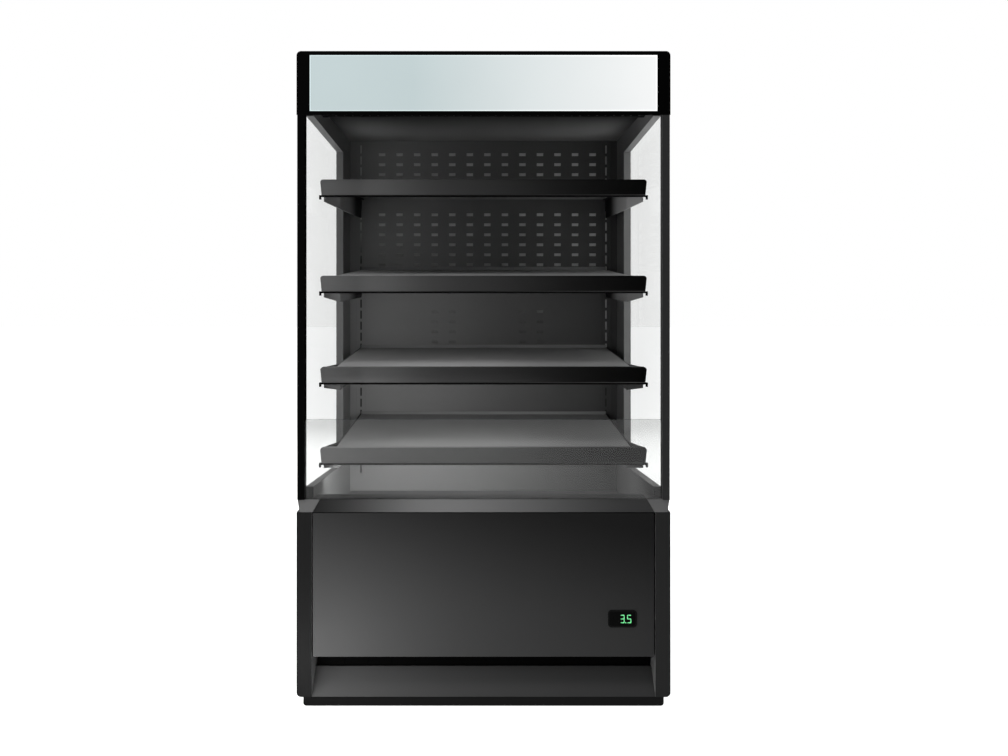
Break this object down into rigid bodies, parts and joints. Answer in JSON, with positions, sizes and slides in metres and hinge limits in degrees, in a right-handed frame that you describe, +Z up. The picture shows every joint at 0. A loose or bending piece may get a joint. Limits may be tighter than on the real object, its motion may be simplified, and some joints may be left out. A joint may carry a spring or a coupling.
{
  "type": "open multideck display fridge",
  "caption": "Open-fronted refrigerated display cabinet with a lit header, glazed ends, tilted shelves on slotted uprights, a low front glass and its machinery in the base.",
  "frame": {"origin": "on the floor, under the middle of the cabinet", "axes": "+Z up, -Y towards the customer, +X to the customer's right"},
  "size_m": [1, 0.7, 1.754],
  "materials": {
    "black_paint": "satin black powder coat",
    "charcoal_paint": "satin charcoal powder coat, fine grain",
    "cap_plastic": "moulded grey plastic, fine texture",
    "shelf_paint": "satin dark grey powder coat",
    "strip_plastic": "extruded charcoal plastic",
    "lining_paint": "satin charcoal pre-painted steel",
    "tub_liner": "satin charcoal pre-painted steel over foam",
    "glass": "clear toughened glass with polished edges",
    "sign_acrylic": "milky backlit acrylic",
    "lamp_diffuser": "opal diffuser over LEDs",
    "curtain_plastic": "black honeycomb plastic",
    "filter_foam": "black open-cell filter foam",
    "coil_aluminium": "mill finish fins",
    "zinc_steel": "galvanised sheet",
    "motor_paint": "black machine enamel",
    "fan_plastic": "black glass-filled plastic",
    "copper": "bare copper tube",
    "rubber": "moulded rubber",
    "foot_steel": "zinc plated steel",
    "black_plastic": "black moulded plastic",
    "lens_plastic": "dark tinted lens"
  },
  "bodies": {
    "cabinet": {"header_box": "black_paint", "front_post_left": "black_paint", "front_post_right": "black_paint", "base_frame": "black_paint", "roof_panel": "black_paint", "kick_panel": "charcoal_paint", "end_frame_left": "charcoal_paint", "end_frame_right": "charcoal_paint", "nose_rail": "charcoal_paint", "back_wall": "charcoal_paint", "nose_caps": "cap_plastic", "shelf_brackets_left": "shelf_paint", "shelf_brackets_right": "shelf_paint", "return_grille": "shelf_paint", "back_panel": "lining_paint", "ceiling_panel": "lining_paint", "upright_left": "lining_paint", "upright_right": "lining_paint", "tub": "tub_liner", "front_glass": "glass", "side_glass_left": "glass", "side_glass_right": "glass", "sign_panel": "sign_acrylic", "led_battens": "lamp_diffuser", "honeycomb": "curtain_plastic", "air_filter": "filter_foam", "evaporator_coil": "coil_aluminium", "condenser_coil": "coil_aluminium", "fan_plate": "zinc_steel", "condenser_shroud": "zinc_steel", "drip_tray": "zinc_steel", "electrical_box": "zinc_steel", "rear_grille": "zinc_steel", "evaporator_motors": "motor_paint", "condenser_motor": "motor_paint", "compressor": "motor_paint", "refrigerant_lines": "copper", "compressor_grommets": "rubber", "cable_gland": "black_plastic"},
    "service_panel": {"front_panel": "charcoal_paint", "controller": "black_plastic", "display_window": "lens_plastic"},
    "deck": {"deck_pan": "shelf_paint"},
    "condenser_rotor": {"condenser_fan": "fan_plastic"},
    "evaporator_rotor_left": {"evaporator_fan_left": "fan_plastic"},
    "evaporator_rotor_right": {"evaporator_fan_right": "fan_plastic"},
    "power_rocker": {"power_switch": "black_plastic"},
    "light_rocker": {"light_switch": "black_plastic"},
    "shelf_1": {"shelf_pan_1": "shelf_paint", "ticket_strip_1": "strip_plastic"},
    "shelf_2": {"shelf_pan_2": "shelf_paint", "ticket_strip_2": "strip_plastic"},
    "shelf_3": {"shelf_pan_3": "shelf_paint", "ticket_strip_3": "strip_plastic"},
    "shelf_4": {"shelf_pan_4": "shelf_paint", "ticket_strip_4": "strip_plastic"},
    "leveller_front_left": {"foot_front_left": "foot_steel"},
    "leveller_front_right": {"foot_front_right": "foot_steel"},
    "leveller_rear_left": {"foot_rear_left": "foot_steel"},
    "leveller_rear_right": {"foot_rear_right": "foot_steel"}
  },
  "joints": [
    {"name": "panel_tilt", "type": "hinge", "parent": "cabinet", "child": "service_panel", "pos_m": [0, -0.3455, 0.515], "axis": [-1, 0, 0], "range_deg": [0, 35]},
    {"name": "deck_lift", "type": "hinge", "parent": "cabinet", "child": "deck", "pos_m": [0, 0.22, 0.4062], "axis": [-1, 0, 0], "range_deg": [0, 18]},
    {"name": "condenser_fan_spin", "type": "hinge", "parent": "cabinet", "child": "condenser_rotor", "pos_m": [-0.255, -0.193, 0.1217], "axis": [0, 1, 0], "continuous": true},
    {"name": "evaporator_fan_left_spin", "type": "hinge", "parent": "cabinet", "child": "evaporator_rotor_left", "pos_m": [-0.2, -0.058, 0.358], "axis": [0, 1, 0], "continuous": true},
    {"name": "evaporator_fan_right_spin", "type": "hinge", "parent": "cabinet", "child": "evaporator_rotor_right", "pos_m": [0.2, -0.058, 0.358], "axis": [0, 1, 0], "continuous": true},
    {"name": "power_switch_rock", "type": "hinge", "parent": "cabinet", "child": "power_rocker", "pos_m": [0.29, 0.335, 0.12], "axis": [-1, 0, 0], "range_deg": [0, 16]},
    {"name": "light_switch_rock", "type": "hinge", "parent": "cabinet", "child": "light_rocker", "pos_m": [0.33, 0.335, 0.12], "axis": [-1, 0, 0], "range_deg": [0, 16]},
    {"name": "shelf_1_tilt", "type": "hinge", "parent": "cabinet", "child": "shelf_1", "pos_m": [0, 0.2107, 1.42523], "axis": [-1, 0, 0], "range_deg": [0, 15]},
    {"name": "shelf_2_tilt", "type": "hinge", "parent": "cabinet", "child": "shelf_2", "pos_m": [0, 0.21071, 1.15925], "axis": [-1, 0, 0], "range_deg": [0, 15]},
    {"name": "shelf_3_tilt", "type": "hinge", "parent": "cabinet", "child": "shelf_3", "pos_m": [0, 0.2107, 0.89323], "axis": [-1, 0, 0], "range_deg": [0, 15]},
    {"name": "shelf_4_tilt", "type": "hinge", "parent": "cabinet", "child": "shelf_4", "pos_m": [0, 0.2107, 0.66523], "axis": [-1, 0, 0], "range_deg": [0, 15]},
    {"name": "leveller_front_left_turn", "type": "hinge", "parent": "cabinet", "child": "leveller_front_left", "pos_m": [-0.44, -0.305, 0.02], "axis": [0, 0, 1], "continuous": true},
    {"name": "leveller_front_right_turn", "type": "hinge", "parent": "cabinet", "child": "leveller_front_right", "pos_m": [0.44, -0.305, 0.02], "axis": [0, 0, 1], "continuous": true},
    {"name": "leveller_rear_left_turn", "type": "hinge", "parent": "cabinet", "child": "leveller_rear_left", "pos_m": [-0.44, 0.305, 0.02], "axis": [0, 0, 1], "continuous": true},
    {"name": "leveller_rear_right_turn", "type": "hinge", "parent": "cabinet", "child": "leveller_rear_right", "pos_m": [0.44, 0.305, 0.02], "axis": [0, 0, 1], "continuous": true}
  ]
}
